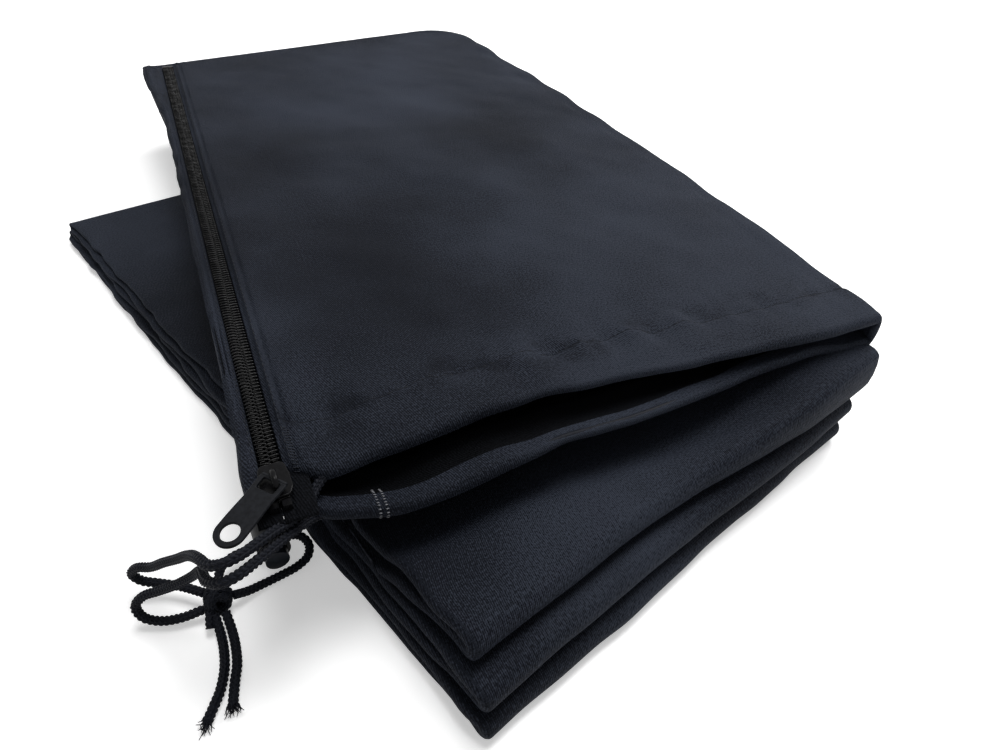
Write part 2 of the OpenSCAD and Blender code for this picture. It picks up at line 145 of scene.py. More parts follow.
def add_mesh(name, points, faces, material, body, uv=None):
    """A mesh piece from points in the bag frame."""
    mesh = bpy.data.meshes.new(name)
    mesh.from_pydata([tuple(p) for p in at(points)], [], [tuple(int(i) for i in f) for f in faces])
    mesh.validate()
    if uv is not None:
        layer = mesh.uv_layers.new(name="cut")
        index = np.zeros(len(mesh.loops), dtype=np.int32)
        mesh.loops.foreach_get("vertex_index", index)
        layer.data.foreach_set("uv", np.asarray(uv, dtype=np.float32)[index].ravel())
    mesh.polygons.foreach_set("use_smooth", np.ones(len(mesh.polygons), dtype=bool))
    obj = bpy.data.objects.new(name, mesh)
    bpy.context.collection.objects.link(obj)
    mesh.materials.append(material)
    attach(obj, body)
    return obj


def grid_faces(rows, cols, wrap=False, start=0):
    """Quads of a grid of points; wrap joins the last column to the first."""
    r = np.arange(rows - 1)[:, None]
    c = np.arange(cols if wrap else cols - 1)[None, :]
    d = (c + 1) % cols
    quads = np.stack(np.broadcast_arrays(r * cols + c, r * cols + d, (r + 1) * cols + d,
                                         (r + 1) * cols + c), axis=-1)
    return quads.reshape(-1, 4) + start


def normals_of(grid):
    du = np.gradient(grid, axis=0)
    dv = np.gradient(grid, axis=1)
    return unit(np.cross(du, dv))


def shell(outer, thick, uv):
    """A closed skin of cloth: the outer grid, its inner face, and the rim between them."""
    inner = outer + normals_of(outer) * thick
    rows, cols = outer.shape[:2]
    k = rows * cols
    points = np.vstack([outer.reshape(-1, 3), inner.reshape(-1, 3)])
    top = grid_faces(rows, cols)
    low = grid_faces(rows, cols, start=k)[:, ::-1]
    rim = ([(0, c) for c in range(cols)] + [(r, cols - 1) for r in range(1, rows)]
           + [(rows - 1, c) for c in range(cols - 2, -1, -1)]
           + [(r, 0) for r in range(rows - 2, 0, -1)])
    ring = np.array([r * cols + c for r, c in rim])
    nxt = np.roll(ring, -1)
    side = np.stack([nxt, ring, ring + k, nxt + k], axis=1)
    return points, np.vstack([top, low, side]), np.vstack([uv.reshape(-1, 2), uv.reshape(-1, 2)])


def frames_along(path):
    """Two directions across the path at each point, with no sudden twist."""
    along = unit(np.gradient(path, axis=0))
    a = np.cross(along[0], [0, 0, 1.0])
    if np.linalg.norm(a) < 0.2:
        a = np.cross(along[0], [0, 1.0, 0])
    first = []
    for t in along:
        a = a - t * np.dot(a, t)
        a = a / np.linalg.norm(a)
        first.append(a)
    first = np.array(first)
    return along, first, np.cross(along, first)


def tube(path, radius, sides=10):
    """A closed tube along a path; radius may be a number or one for each point."""
    path = np.asarray(path, dtype=float)
    _, a, b = frames_along(path)
    r = np.broadcast_to(np.asarray(radius, dtype=float), (len(path),))[:, None, None]
    ang = np.linspace(0, 2 * np.pi, sides, endpoint=False)
    ring = (np.cos(ang)[None, :, None] * a[:, None] + np.sin(ang)[None, :, None] * b[:, None]) * r
    points = (path[:, None] + ring).reshape(-1, 3)
    faces = [tuple(f) for f in grid_faces(len(path), sides, wrap=True)]
    last = (len(path) - 1) * sides
    faces += [tuple(range(sides - 1, -1, -1)), tuple(range(last, last + sides))]
    return points, faces


def merged(parts):
    points, faces, k = [], [], 0
    for p, f in parts:
        points.append(np.asarray(p))
        faces += [tuple(int(i) + k for i in q) for q in f]
        k += len(p)
    return np.vstack(points), faces


# ---------------------------------------------------------------- materials
class Nodes:
    def __init__(self, name):
        self.material = bpy.data.materials.new(name)
        self.material.use_nodes = True
        self.tree = self.material.node_tree
        self.shader = self.tree.nodes["Principled BSDF"]

    def add(self, kind, **values):
        node = self.tree.nodes.new(kind)
        for key, value in values.items():
            if key.startswith("in_"):
                node.inputs[key[3:].replace("_", " ")].default_value = value
            else:
                setattr(node, key, value)
        return node

    def link(self, a, b):
        self.tree.links.new(a, b)

    def math(self, operation, a, b=None, c=None):
        node = self.add("ShaderNodeMath", operation=operation)
        for socket, value in zip(node.inputs, (a, b, c)):
            if value is None:
                continue
            if isinstance(value, (int, float)):
                socket.default_value = value
            else:
                self.link(value, socket)
        return node.outputs[0]

    def ramp(self, source, stops):
        node = self.add("ShaderNodeValToRGB")
        self.link(source, node.inputs[0])
        e = node.color_ramp.elements
        while len(e) < len(stops):
            e.new(0.5)
        for item, (place, colour) in zip(e, stops):
            item.position = place
            item.color = (*colour, 1)
        return node.outputs[0]

    def relief(self, height, strength, distance):
        node = self.add("ShaderNodeBump", in_Strength=strength, in_Distance=distance)
        self.link(height, node.inputs["Height"])
        self.link(node.outputs[0], self.shader.inputs["Normal"])


RAMP_LOW, RAMP_HIGH = 0.35, 0.95       # shades at which the cloth is darkest and lightest
WEAVE_BUMP, GRAIN_BUMP = 0.0002, 0.0001
SHEEN_BLUE = (0.55, 0.66, 1.0, 1)
# half width of the painted crease shade along the stitch line, and how far its painted pucker shade reaches
CREASE_SHADE_HALF_W, PUCKER_SHADE_REACH = 0.0007, 0.017


def noise_node(m, coords, **values):
    node = m.add("ShaderNodeTexNoise", **values)
    m.link(coords, node.inputs["Vector"])
    return node.outputs[0]


def near(m, distance, reach):
    """1 where the distance is 0, falling to 0 at reach."""
    return m.math("MAXIMUM", m.math("SUBTRACT", 1.0, m.math("DIVIDE", distance, reach)), 0.0)


def weave_material(name, dark, light, pitch, rough=0.7, sheen=0.02, specular=0.04, line_at=None,
                   painted_shade_spots=()):
    """Fine twill cloth: slanting ribs of yarn, patchy shade and a slight sheen. Along a stitch line at
    line_at the colour gets a thin dark line of painted crease shade and blotches of painted pucker
    shade; the spots given are soft places of painted shade."""
    m = Nodes(name)
    coords = m.add("ShaderNodeTexCoord")
    cut, solid = coords.outputs["UV"], coords.outputs["Object"]
    split = m.add("ShaderNodeSeparateXYZ")
    m.link(cut, split.inputs[0])
    u, v = split.outputs[0], split.outputs[1]
    turn = 2 * math.pi / pitch
    bend = m.math("MULTIPLY", noise_node(m, cut, in_Scale=22.0, in_Detail=1.0), 5.0)
    slant = m.math("ADD", m.math("MULTIPLY", u, turn), m.math("MULTIPLY", v, turn * 0.3))
    rib = m.math("SINE", m.math("ADD", slant, bend))
    thread = m.math("SINE", m.math("MULTIPLY", v, turn * 1.7))
    slub = m.math("SUBTRACT", noise_node(m, cut, in_Scale=1300.0, in_Detail=2.0), 0.5)
    height = m.math("ADD", m.math("MULTIPLY", rib, 0.55), m.math("MULTIPLY", thread, 0.2))
    height = m.math("ADD", height, m.math("MULTIPLY", slub, 4.6))
    patch = noise_node(m, solid, in_Scale=8.0, in_Detail=5.0, in_Roughness=0.55)
    shade = m.math("ADD", m.math("MULTIPLY", height, 0.40), m.math("MULTIPLY", patch, 2.1))
    shade = m.math("SUBTRACT", shade, 0.43)
    if line_at is not None:
        # a thin dark line of painted crease shade along the stitch line, with blotches of painted pucker shade
        # around it
        away = m.math("ABSOLUTE", m.math("SUBTRACT", v, line_at))
        crease_shade = near(m, away, CREASE_SHADE_HALF_W)
        around = near(m, away, PUCKER_SHADE_REACH)
        pucker_shade = noise_node(m, cut, in_Scale=62.0, in_Detail=2.0)
        pucker_shade = m.math("MAXIMUM", m.math("SUBTRACT", pucker_shade, 0.48), 0.0)
        pucker_shade = m.math("MULTIPLY", m.math("MULTIPLY", around, pucker_shade), 1.9)
        shade = m.math("SUBTRACT", shade, m.math("MULTIPLY", crease_shade, 0.32))
        shade = m.math("SUBTRACT", shade, pucker_shade)
    # soft places of painted shade, darker towards each centre
    for centre, reach, amount in painted_shade_spots:
        gap = m.add("ShaderNodeVectorMath", operation="DISTANCE")
        m.link(solid, gap.inputs[0])
        gap.inputs[1].default_value = centre
        inside = m.math("SUBTRACT", 1.0, m.math("DIVIDE", gap.outputs["Value"], reach))
        inside = m.math("SMOOTH_MAX", inside, 0.0, 0.3)
        shade = m.math("SUBTRACT", shade, m.math("MULTIPLY", inside, amount))
    m.link(m.ramp(shade, [(RAMP_LOW, dark), (RAMP_HIGH, light)]), m.shader.inputs["Base Color"])
    uneven = m.math("ADD", m.math("MULTIPLY", patch, 0.14), rough - 0.07)
    m.link(uneven, m.shader.inputs["Roughness"])
    m.shader.inputs["Specular IOR Level"].default_value = specular
    m.shader.inputs["Sheen Weight"].default_value = sheen
    m.shader.inputs["Sheen Roughness"].default_value = 0.4
    m.shader.inputs["Sheen Tint"].default_value = SHEEN_BLUE
    m.relief(height, 0.6, WEAVE_BUMP)
    return m.material


def solid_material(name, dark, light, scale, rough, metallic=0.0, depth=0.1, specular=0.5):
    """Moulded plastic, enamel, wire or thread: fine mottling and uneven gloss."""
    m = Nodes(name)
    coords = m.add("ShaderNodeTexCoord")
    grain = noise_node(m, coords.outputs["Object"], in_Scale=scale, in_Detail=4.0)
    m.link(m.ramp(grain, [(0.3, dark), (0.7, light)]), m.shader.inputs["Base Color"])
    uneven = m.math("ADD", m.math("MULTIPLY", grain, 0.2), rough - 0.1)
    m.link(uneven, m.shader.inputs["Roughness"])
    m.shader.inputs["Metallic"].default_value = metallic
    m.shader.inputs["Specular IOR Level"].default_value = specular
    m.relief(grain, depth, GRAIN_BUMP)
    return m.material


# x and y of soft places of painted shade on the top leaf, their reach in metres, and how dark
PAINTED_SHADE_SPOTS = [(62, 112, 0.075, 0.42), (50, 350, 0.08, 0.26), (120, 60, 0.06, 0.12),
              (30, 250, 0.07, 0.10), (150, 300, 0.08, 0.10)]
TWILL = ((0.0042, 0.0050, 0.0076), (0.0265, 0.0312, 0.0435), 0.00072)
CLOTH = weave_material("navy_twill", *TWILL)
# near-black colour for the hems' turned-in ply and the cloth's inner face: painted shade inside the mouth
INSIDE_SHADE = weave_material("inside_painted_shade", (0.0010, 0.0011, 0.0014), (0.0042, 0.0046, 0.0058), 0.0009,
                        sheen=0.0, specular=0.02)
SEAM = weave_material("turned_edges", (0.0040, 0.0050, 0.0080), (0.0150, 0.0180, 0.0260), 0.00072)
TAPE = weave_material("zip_tape", (0.0012, 0.0014, 0.0021), (0.0052, 0.0059, 0.0080), 0.0008,
                      rough=0.8, sheen=0.0)
COIL = solid_material("zip_monofilament", (0.0012, 0.0012, 0.0014), (0.0032, 0.0032, 0.0037),
                      500, 0.2, specular=0.13)
ENAMEL = solid_material("black_enamel", (0.0022, 0.0022, 0.0026), (0.0045, 0.0045, 0.0052),
                        700, 0.28, specular=0.07)
TAB_ENAMEL = solid_material("matte_enamel", (0.0060, 0.0064, 0.0078), (0.0120, 0.0130, 0.0155),
                            800, 0.5, depth=0.25, specular=0.06)
THREAD = solid_material("thread", (0.0040, 0.0048, 0.0075), (0.0120, 0.0140, 0.0200),
                        2500, 0.6, specular=0.15)
BAR_THREAD = solid_material("bartack_thread", (0.05, 0.052, 0.06), (0.22, 0.225, 0.24),
                            2500, 0.45, specular=0.3)
CORD = solid_material("braid", (0.0025, 0.0028, 0.0046), (0.0112, 0.0128, 0.0180),
                      1800, 0.5, depth=0.4, specular=0.06)
LOCK = solid_material("moulded_black", (0.0025, 0.0028, 0.0040), (0.0050, 0.0056, 0.0080),
                      900, 0.4, specular=0.14)
BUTTON = solid_material("moulded_blue_black", (0.0100, 0.0125, 0.0180), (0.0150, 0.0185, 0.0260),
                        900, 0.4, specular=0.15)
STEEL = solid_material("spring_wire", (0.30, 0.30, 0.31), (0.55, 0.55, 0.56),
                       600, 0.3, metallic=1.0)

# ---------------------------------------------------------------- cords
# The same points as the CAD's routes
ZIP_SIDE_ROUTE = [
    [14, 6.3, 53.3], [10.5, 3.2, 52], [7.2, -1.2, 51.5], [2, -5.4, 51.5], [-3.5, -8.6, 52.6],
    [-8.2, -12, 53.8], [-12.8, -14.9, 54.6], [-17.2, -15.6, 54.4], [-20.6, -13.2, 52.6],
    [-23, -7.5, 49.5], [-26, 0, 42.5], [-30.4, 7, 34], [-35, 12.5, 27.5], [-39.5, 18, 20.5],
    [-44, 22.6, 16.5], [-46.8, 25, 11.8], [-45, 24.6, 7.5], [-40, 22.3, 6.4], [-34, 18.8, 6.3],
    [-27.5, 13.5, 6.5]]
FRONT_ROUTE = [
    [14, 0.6, 43.5], [8.5, -1.6, 45.6], [2.5, -6.4, 48.4], [-4, -11.2, 49.8], [-9, -15, 50.8],
    [-14, -17.8, 51], [-18.5, -17.6, 49.6], [-21.8, -13.6, 46.6], [-23, -8.4, 43],
    [-24, -3, 38.5], [-27.2, 1.4, 31.5], [-32.7, 5.7, 24.5], [-38.2, 10, 18.6],
    [-43.4, 13.2, 14.2], [-46.8, 14, 9.4], [-45.6, 12.4, 5], [-41, 10.6, 3], [-35, 9.4, 3.2],
    [-28.6, 8.8, 4.8]]
LOCK_ROUTE = [
    [-22.5, 14.6, 6.4], [-22.6, 18.6, 6.2], [-20.6, 22.8, 6], [-16.5, 25.4, 5.8],
    [-10.5, 26.1, 5.8], [-4.5, 26.5, 5.8], [1.5, 26.9, 5.8], [5.2, 25.6, 5.3], [7, 22, 4.2],
    [5.6, 18.3, 3], [1.5, 16.2, 2.1], [-4, 15, 1.7], [-10, 13.6, 1.9], [-15, 11.9, 3],
    [-19.2, 10.4, 5.2]]
TAIL_LEFT_ROUTE = [
    [-25.6, 5.6, 4.8], [-25, 0.5, 2.4], [-24.8, -5, 1.7], [-25.4, -11.5, 1.7],
    [-27.2, -17.5, 1.7], [-29.6, -22, 1.7], [-32, -26, 1.7]]
TAIL_RIGHT_ROUTE = [
    [-22.4, 5.4, 4.8], [-21.7, 0.5, 2.4], [-21.4, -5, 1.7], [-21.8, -11.5, 1.7],
    [-23.2, -17, 1.7], [-24.8, -24.3, 1.7]]
KNOT_AT = np.array([-24, 10, 6.4])
CORD_D = 3.0
BRAID_STRANDS = 8
BRAID_STEP = 1.5


def braid(path, radius=CORD_D / 2, sides=50):
    """A round braid: short slanting yarns in rows, leaning left and right in turn."""
    path = np.asarray(path, dtype=float)
    _, a, b = frames_along(path)
    gone = np.r_[0, np.cumsum(np.linalg.norm(np.diff(path, axis=0), axis=1))][:, None]
    ang = np.linspace(0, 2 * np.pi, sides, endpoint=False)[None, :]
    across = ang / (2 * np.pi) * BRAID_STRANDS
    column = np.floor(across).astype(int) % 2
    inside = across - np.floor(across)
    lean = np.where(column == 0, inside, 1 - inside)
    along = gone / BRAID_STEP + 0.7 * lean
    yarn = np.abs(np.sin(np.pi * along)) ** 0.8
    row = np.sin(np.pi * inside) ** 0.5
    r = radius - 0.52 + 0.56 * yarn * row + 0.06 * row
    ring = np.cos(ang)[..., None] * a[:, None] + np.sin(ang)[..., None] * b[:, None]
    points = (path[:, None] + ring * r[..., None]).reshape(-1, 3)
    faces = [tuple(f) for f in grid_faces(len(path), sides, wrap=True)]
    last = (len(path) - 1) * sides
    faces += [tuple(range(sides - 1, -1, -1)), tuple(range(last, last + sides))]
    return points, faces


def lay_cord(name, node, route):
    line = spline(route, 0.2)
    points, faces = braid(line)
    cord = add_mesh(name, points, faces, CORD, "bag")
    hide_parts(node)
    return line


def ellipse(centre, one, two, start=0, turns=1.0, lift=(0, 0, 0)):
    ang = np.linspace(start, start + 2 * np.pi * turns, 64)[:, None]
    rise = np.linspace(0, 1, 64)[:, None] * np.asarray(lift, dtype=float)
    return np.asarray(centre, dtype=float) + np.cos(ang) * np.asarray(one, dtype=float) \
        + np.sin(ang) * np.asarray(two, dtype=float) + rise


def make_knot():
    """The bow's knot: two wraps round the strands, one slung across them, and a short end."""
    c = KNOT_AT
    turns = [
        ellipse(c + [-0.2, -1.7, -0.9], (3.0, 0.3, 0.3), (-0.2, 0.7, 2.8), 0.4, 1.06, (0.1, 0.9, 0)),
        ellipse(c + [0.3, 1.0, -0.6], (3.2, -0.5, 0.2), (0.2, 0.5, 3.0), 2.2, 1.04, (-0.2, 0.7, 0)),
        ellipse(c + [0.2, -0.4, -0.4], (2.3, 2.6, 0.3), (-0.6, 0.3, 3.6), 4.0, 1.0, (0.2, 0.3, 0)),
        spline([c + [-1.0, 2.2, -1.8], c + [-2.2, -1.0, -1.0], c + [-3.0, -4.6, -1.8], c + [-3.5, -7.6, -3.4]], 0.3)]
    points, faces = merged([braid(even(t, 0.2)) for t in turns])
    points[:, 2] = np.maximum(points[:, 2], 0.2)
    knot = add_mesh("cord_bow_knot", points, faces, CORD, "bag")
    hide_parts("cord_knot")
    return knot


def make_fray(name, route, seed):
    """Loose yarns fanning out of a cut end."""
    line = spline(route, 0.25)
    tip, ahead = line[-1], unit(line[-1] - line[-8])
    side = unit(np.cross(ahead, [0, 0, 1.0]))
    rng = np.random.RandomState(seed)
    parts = []
    for _ in range(40):
        ang, out = rng.uniform(0, 2 * np.pi), rng.uniform(0.2, 1.25)
        root = tip - ahead * 1.2 + side * math.cos(ang) * out + np.array([0, 0, 1.0]) * math.sin(ang) * out
        reach = rng.uniform(1.8, 3.6) if rng.uniform() < 0.8 else rng.uniform(3.6, 6.0)
        aim = unit(ahead + side * rng.uniform(-0.7, 0.7) + np.array([0, 0, 1.0]) * rng.uniform(-0.3, 0.5))
        mid = root + aim * reach * 0.5 + rng.uniform(-0.7, 0.7, 3)
        end = root + aim * reach + rng.uniform(-1.1, 1.1, 3)
        yarn = spline([root, mid, end], 0.5)
        yarn[:, 2] = np.maximum(yarn[:, 2], 0.2)
        parts.append(tube(yarn, np.linspace(0.24, 0.1, len(yarn)), sides=5))
    points, faces = merged(parts)
    return add_mesh(name, points, faces, CORD, "bag")


knot = make_knot()
fray_left = make_fray("cord_fray_left", TAIL_LEFT_ROUTE, 5)
fray_right = make_fray("cord_fray_right", TAIL_RIGHT_ROUTE, 9)
lay_cord("cord_zip_side", "cord_loop_zip_side", ZIP_SIDE_ROUTE)
lay_cord("cord_front", "cord_loop_front", FRONT_ROUTE)
lay_cord("cord_through_lock", "cord_loop_lock", LOCK_ROUTE)
lay_cord("cord_tail_a", "cord_tail_left", TAIL_LEFT_ROUTE)
lay_cord("cord_tail_b", "cord_tail_right", TAIL_RIGHT_ROUTE)


# ---------------------------------------------------------------- top leaf
TOP_Z = 55.6
FLOOR_Z = 44.6                 # lower face of the top leaf's lower ply
HEM_D = 22.0
HEM_R = 2.3
REAR_SKEW = math.radians(12.5)
REAR_AXIS_Z = 47.8
LEFT_X = -8.0
ZIP_REAR_Y = 388.0
MOUTH_W, REAR_W = 237.0, 222.0
CORNER = np.array([191.0, 402.1])
CORNER_R = 30.0
CLOTH_T = 0.5
REAR_OUT = np.array([-math.sin(REAR_SKEW), math.cos(REAR_SKEW)])


def right_x(y):
    t = np.asarray(y, dtype=float) / ZIP_REAR_Y
    return MOUTH_W + (REAR_W - MOUTH_W) * t + 7.0 * np.sin(np.pi * np.clip(t, 0, 1)) ** 1.2


def right_edge(n):
    """The right edge of the top leaf from the hem to the end of its round corner."""
    arc = [CORNER + CORNER_R * np.array([math.cos(a), math.sin(a)])
           for a in np.linspace(math.radians(2.2), math.radians(102.5), 18)]
    side = [[right_x(y), y] for y in np.linspace(HEM_D + 4, 380, 40)]
    line = spline(np.array(side + arc), 1.0)
    return even(line, length_of(line) / (n - 1))[:n]


def hem_front(x, upper):
    """Front edge of the hem; the lower lip bows out near its left end."""
    if upper:
        line = 4 + 9.5 * smooth((x - 8) / 70) - 5.0 * smooth((x - 120) / 105) - 3.5 * bump(x, 148, 42)
    else:
        line = -2 - 7.0 * bump(x, 36, 26) + 11.0 * smooth((x - 90) / 140)
    ruffle = 0.8 * noise2(x / 13, 3.3 + upper, 4) * smooth((x - 10) / 25)
    tuck = (6.0 if upper else 4.5) * smooth((15 - x) / 12)
    return line + ruffle + tuck


def top_section(width, z_top, z_low, zip_gap):
    """Points round the leaf, from the zip's right edge over the top, round the right edge,
    along the underside and up to the zip's left edge: place across, height, inward direction."""
    h = z_top - z_low
    r = min(h / 2, 3.4)
    zm = (z_top + z_low) / 2
    rl = min(h / 2, 2.4)
    left_turn = [(rl - rl * math.cos(a), z_low + rl - rl * math.sin(a), math.cos(a), math.sin(a))
                 for a in np.linspace(math.radians(90), 0, 5)]
    left_top = [(rl - rl * math.cos(a), z_top - rl + rl * math.sin(a), math.cos(a), -math.sin(a))
                for a in np.linspace(0, math.radians(90), 5)]
    start = 8 + zip_gap
    rows = [(w, z_top, 0, -1) for w in np.linspace(start, start + 6, 12)[:-1]]
    rows += [(w, z_top, 0, -1) for w in np.linspace(start + 6, width - r, 84)]
    rows += [(width - r + r * math.cos(a), zm + h / 2 * math.sin(a), -math.cos(a), -math.sin(a))
             for a in np.linspace(math.radians(75), math.radians(-75), 9)]
    rows += [(w, z_low, 0, 1) for w in np.linspace(width - r, rl, 80)]
    rows += left_turn[1:]
    rows += [(0, z, 1, 0) for z in np.linspace(z_low + rl, z_top - rl, 4)[1:-1]]
    rows += left_top
    rows += [(w, z_top, 0, -1) for w in np.linspace(rl, 8 - zip_gap, 8)[1:]]
    return np.array(rows)


def top_leaf():
    n_leaf = 150
    edge = right_edge(n_leaf)
    rows, cut_v, gone = [], [], 0.0
    # the hem, from its inner edge round the front and back to the stitch line
    hem = [(d, 2 * HEM_R - 0.3, -1) for d in np.linspace(HEM_D - 1, HEM_R, 9)]
    hem += [(HEM_R - HEM_R * math.sin(a), HEM_R + HEM_R * math.cos(a), 0)
            for a in np.linspace(math.radians(15), math.radians(165), 9)]
    hem += [(d, 0, 1) for d in np.linspace(HEM_R, HEM_D, 16)]
    base = top_section(right_x(15) - LEFT_X, TOP_Z, FLOOR_Z, 3.4)
    upper = np.arange(len(base)) < 99
    x = LEFT_X + base[:, 0]
    blend_edge = smooth((base[:, 0] - 225) / 14)
    front = np.where(upper, hem_front(x, True), hem_front(x, False))
    both = (hem_front(np.array([MOUTH_W - 4]), True) + hem_front(np.array([MOUTH_W - 4]), False)) / 2
    front = front * (1 - blend_edge) + both * blend_edge
    last = None
    for d, inward, _ in hem:
        fill = bump(d, 11, 9) * 0.9 * (1 + 0.4 * noise2(x / 17, 7.7, 2))
        lift = inward - (fill if inward < HEM_R else 0)
        p = np.stack([x + base[:, 2] * lift, front + d, base[:, 1] + base[:, 3] * lift], axis=1)
        gone += 0 if last is None else float(np.median(np.linalg.norm(p - last, axis=1)))
        rows.append(p)
        cut_v.append(gone)
        last = p
    stitch_row = len(rows) - 1
    shift = front + HEM_D - (HEM_D + 4)
    for i in range(1, n_leaf):
        t = i / (n_leaf - 1)
        left = np.array([LEFT_X, HEM_D + 4 + t * (ZIP_REAR_Y - HEM_D - 4)])
        across = edge[i] - left
        width = np.linalg.norm(across)
        across = across / width
        flatten = smooth((left[1] - 305) / 80)
        z_low = FLOOR_Z + (52.9 - FLOOR_Z) * flatten
        sec = top_section(width, TOP_Z, z_low, 3.4 - 3.1 * smooth((left[1] - 383.5) / 4))
        p = np.stack([left[0] + across[0] * sec[:, 0], left[1] + across[1] * sec[:, 0], sec[:, 1]], axis=1)
        p[:, 1] += shift * (1 - smooth((left[1] - HEM_D - 4) / 90))
        gone += float(np.median(np.linalg.norm(p - last, axis=1)))
        rows.append(p)
        cut_v.append(gone)
        last = p
    end = last
    for phi in np.linspace(0, math.pi, 17)[1:]:
        reach = end[:, 2] - REAR_AXIS_Z
        p = end.copy()
        p[:, :2] += REAR_OUT * (reach * math.sin(phi))[:, None]
        p[:, 2] = REAR_AXIS_Z + reach * math.cos(phi)
        gone += float(np.median(np.linalg.norm(p - last, axis=1)))
        rows.append(p)
        cut_v.append(gone)
        last = p
    turn_row = len(rows) - 17
    grid = np.array(rows)
    # ---- the cloth's own unevenness, along its outward direction
    out = -normals_of(grid)
    X, Y = grid[..., 0], grid[..., 1]
    col = np.arange(grid.shape[1])[None, :]
    row = np.arange(grid.shape[0])[:, None]
    on_top = (col < 95).astype(float) * (row > 17)
    beyond = smooth((row - stitch_row) / 6.0)
    inner = smooth((X - 6) / 30) * smooth((right_x(Y) - X) / 25)
    lift = 1.3 * noise2(X / 58 + 0.3, Y / 75, 11) + 0.85 * noise2(X / 31 + Y / 90, Y / 40, 12)
    lift = lift * inner
    lift *= 1 - 0.72 * smooth((Y - 275) / 75)
    lift += 0.26 * noise2(X / 13 + Y / 30, Y / 17, 13) * smooth((X - 4) / 10)
    lift += 0.05 * noise2(X / 4.5, Y / 4.5, 14)
    # puckers that run out of the stitch line
    from_line = Y - (np.broadcast_to(front, grid.shape[:2]) + HEM_D)
    pucker = noise2(X / 5.2, 0.5 + Y * 0, 21) * 0.9 + noise2(X / 11, 0.2 + Y * 0, 22) * 0.9
    strong = 0.4 + 0.7 * bump(X, 60, 60) + 0.35 * bump(X, 150, 50)
    pucker += 0.5 * noise2(X / 3.1, Y / 9, 23)
    lift += pucker * strong * 2.3 * np.exp(-np.abs(from_line) / 7.5) * (col < 184) * smooth((X - 8) / 12) \
        * (row > 20)
    lift -= 0.55 * bump(from_line, 0, 1.0) * (col < 184) * (row > 20)
    # folded ridges beside the zip, and its wavy outer margin
    lift += on_top * (0.75 * bump(X, 5.9, 0.8) - 0.55 * bump(X, 7.4, 0.8) + 0.3 * bump(X, 9.4, 1.3)) \
        * (1 + 0.5 * noise2(X * 0, Y / 7, 31)) - on_top * 0.75 * smooth((5.6 - X) / 0.8)
    margin = (col > 188).astype(float) * beyond * smooth((-4.6 - X) / 0.8)
    lift -= 0.75 * (col > 188) * beyond * smooth((X + 5.6) / 0.8)
    lift += margin * (0.7 * noise2(X * 0 + 0.4, Y / 9, 32) + 0.5 * noise2(X * 0 + 2.4, Y / 24, 33))
    lift += margin * 0.7 * np.cos((X + 4.2) * 2 * math.pi / 1.9) * smooth((grid[..., 2] - 53) / 2)
    # the right edge waves a little, and the lower ply hangs loose at the mouth
    lift += (np.abs(col - 99) < 8) * 0.8 * noise2(Y / 21, 4.1 + Y * 0, 34)
    grid = grid + out * (lift * (1 - 0.8 * (row > turn_row)))[..., None]
    # the top swells over the rear half and dips towards the left of the mouth
    swell = 1.6 * bump(X, 135, 70) * bump(Y, 240, 95) - 1.6 * bump(X, 62, 38) * bump(Y, 105, 55)
    grid[..., 2] += swell * (col < 95) * inner
    # at the mouth the upper hem stands open and the lip hangs, most of all near the left
    open_up = np.exp(-np.maximum(Y - 8, 0) / 32) * smooth((X - 8) / 30) * smooth((222 - X) / 70)
    from_front = Y - np.broadcast_to(front, grid.shape[:2])
    dip = smooth((from_front - 5) / 9) * np.exp(-np.maximum(from_front - 14, 0) / 26) \
        * smooth((X - 4) / 14)
    dip = dip * smooth((234 - X) / 60) * (1 + 0.25 * noise2(X / 26, 0.5 + Y * 0, 37))
    grid[..., 2] += np.where(col < 99, 1.0 * open_up, -1.0 * open_up - 3.4 * dip)
    # the lip's right-hand end sags towards the leaf below
    grid[..., 2] -= 4.4 * smooth((col - 95) / 8.0) * smooth((X - 196) / 30) \
        * np.exp(-np.maximum(Y - 12, 0) / 45)
    # the cloth left of the zip stands out further at the rear
    outer_left = (col > 176) * smooth((4.5 - np.abs(X - LEFT_X)) / 3) * smooth((Y - 285) / 90)
    grid[..., 0] -= 6.0 * outer_left
    steps = np.linalg.norm(np.diff(grid[60], axis=0), axis=1)
    cut_u = np.r_[0, np.cumsum(steps)]
    uv = np.stack(np.broadcast_arrays(cut_u[None, :], np.array(cut_v)[:, None]), axis=-1) / 1000
    return grid, uv, stitch_row, turn_row


LEAF, LEAF_UV, STITCH_ROW, TURN_ROW = top_leaf()


def dress_top():
    points, faces, uv = shell(LEAF, CLOTH_T, LEAF_UV)
    # the painted shade spots and the stitch line's painted crease and pucker shade go into this cloth's colour
    painted_shade_spots = [(tuple(at([x, y, TOP_Z])), reach, amount) for x, y, reach, amount in PAINTED_SHADE_SPOTS]
    cloth = weave_material("navy_twill_stitched", *TWILL, painted_shade_spots=painted_shade_spots,
                           line_at=float(LEAF_UV[STITCH_ROW, 0, 1]))
    leaf = add_mesh("top_leaf_cloth", points, faces, cloth, "bag", uv)
    # the turned-in ply of the hems and the cloth's inner face get a near-black colour, painted shade for the inside
    # of the mouth
    leaf.data.materials.append(INSIDE_SHADE)
    across = LEAF.shape[1] - 1
    n_face = (LEAF.shape[0] - 1) * across
    inner = np.zeros(len(leaf.data.polygons), dtype=np.int32)
    inner[:6 * across] = 1
    inner[n_face:2 * n_face] = 1
    leaf.data.polygons.foreach_set("material_index", inner)
    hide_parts("front_panel", "back_panel", "front_hem_casing", "back_hem_casing",
                "hem_side_turn", "side_seam", "rear_fold")
    return leaf


top_cloth = dress_top()


